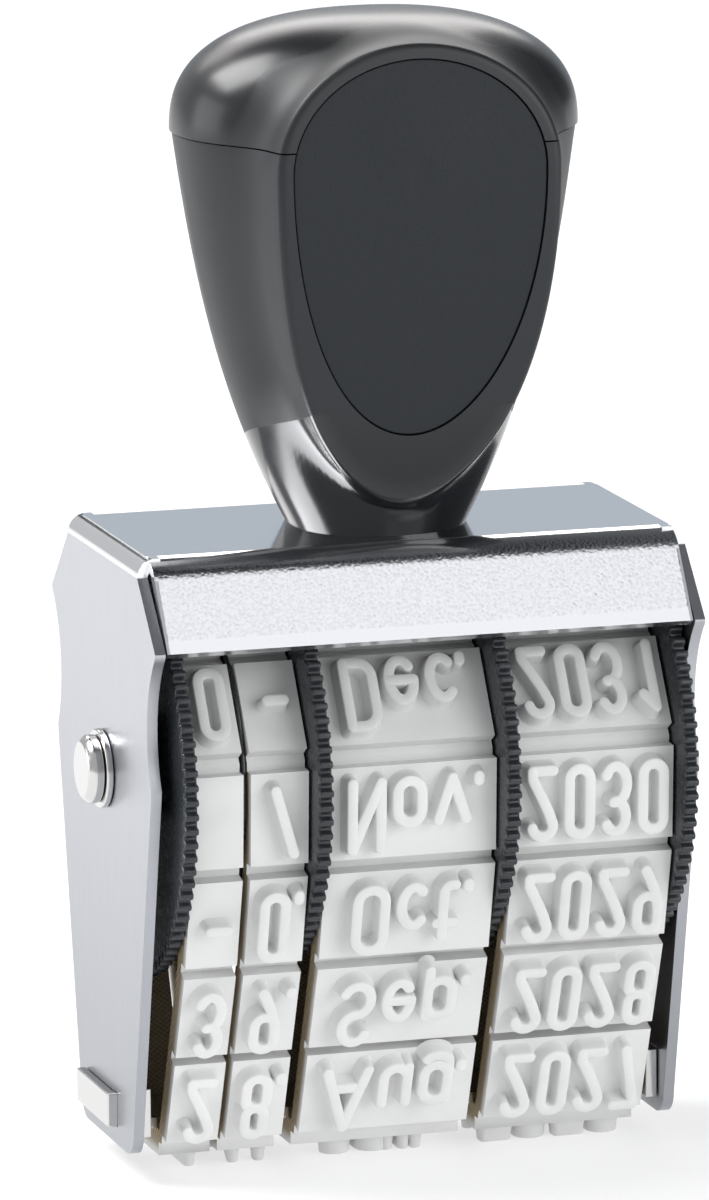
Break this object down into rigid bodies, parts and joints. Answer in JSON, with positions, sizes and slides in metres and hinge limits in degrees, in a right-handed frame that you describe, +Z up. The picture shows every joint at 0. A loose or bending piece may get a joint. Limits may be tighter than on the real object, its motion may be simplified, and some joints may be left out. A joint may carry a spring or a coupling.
{
  "type": "date stamp",
  "caption": "Hand date stamp: a moulded handle on a bent sheet frame, whose toothed thumb wheels carry endless rubber type bands over a steel bridge.",
  "frame": {"origin": "middle of the footprint, on the surface that the printing line's type stands on", "axes": "+Z up through the handle, -Y the front that the inlaid panel faces, +X along the axle from the day bands to the year band"},
  "size_m": [0.0394, 0.027, 0.0741],
  "materials": {
    "chrome_sheet": "bright, with a fine orange-peel on the front flap",
    "bright_steel": "bright plated",
    "wheel_plastic": "satin black",
    "type_rubber": "matt light grey",
    "woven_backing": "woven tan, darkened in use",
    "grip_plastic": "satin charcoal with a polished neck",
    "cap_plastic": "polished charcoal black",
    "panel_plastic": "fine eroded grain"
  },
  "bodies": {
    "root": {"frame": "chrome_sheet", "bridge": "bright_steel", "axle": "bright_steel", "axle_rings": "bright_steel", "axle_spacer": "wheel_plastic", "day_tens_backing": "woven_backing", "day_units_backing": "woven_backing", "month_backing": "woven_backing", "year_backing": "woven_backing", "day_tens_band": "type_rubber", "day_units_band": "type_rubber", "month_band": "type_rubber", "year_band": "type_rubber", "handle_body": "grip_plastic", "handle_cap": "cap_plastic", "front_panel": "panel_plastic", "handle_screw": "bright_steel", "screw_washer": "bright_steel"},
    "day_tens_drive": {"day_tens_wheel": "wheel_plastic"},
    "day_units_drive": {"day_units_wheel": "wheel_plastic"},
    "month_drive": {"month_wheel": "wheel_plastic"},
    "year_drive": {"year_wheel": "wheel_plastic"}
  },
  "joints": [
    {"name": "day_tens_turn", "type": "hinge", "parent": "root", "child": "day_tens_drive", "pos_m": [0, 0, 0.02601], "axis": [1, 0, 0], "continuous": true},
    {"name": "day_units_turn", "type": "hinge", "parent": "root", "child": "day_units_drive", "pos_m": [0, 0, 0.02601], "axis": [1, 0, 0], "continuous": true},
    {"name": "month_turn", "type": "hinge", "parent": "root", "child": "month_drive", "pos_m": [0, 0, 0.02601], "axis": [1, 0, 0], "continuous": true},
    {"name": "year_turn", "type": "hinge", "parent": "root", "child": "year_drive", "pos_m": [0, 0, 0.02601], "axis": [1, 0, 0], "continuous": true}
  ]
}
